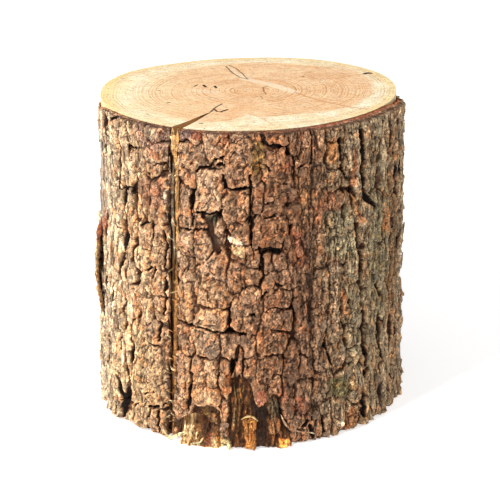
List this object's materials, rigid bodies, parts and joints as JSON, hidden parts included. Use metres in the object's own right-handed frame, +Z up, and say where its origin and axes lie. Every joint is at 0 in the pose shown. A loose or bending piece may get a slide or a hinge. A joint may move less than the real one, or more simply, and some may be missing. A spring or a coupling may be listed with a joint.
{
  "type": "tree stump",
  "caption": "Sawn length of tree trunk standing on end, with rough plated bark, flat saw cuts at top and base, and a deep drying crack down its side.",
  "frame": {"origin": "centre of the part's box, on the lower saw cut that it stands on", "axes": "+Z up along the trunk, square to both saw cuts; -Y is the front that the picture shows, with the drying crack to its left; +X is to the right"},
  "size_m": [0.3242, 0.3208, 0.316],
  "materials": {
    "wood": "dry sawn end grain, matte",
    "bark": "rough furrowed bark, matte"
  },
  "bodies": {
    "root": {"wood": "wood", "bark": "bark"}
  },
  "joints": []
}
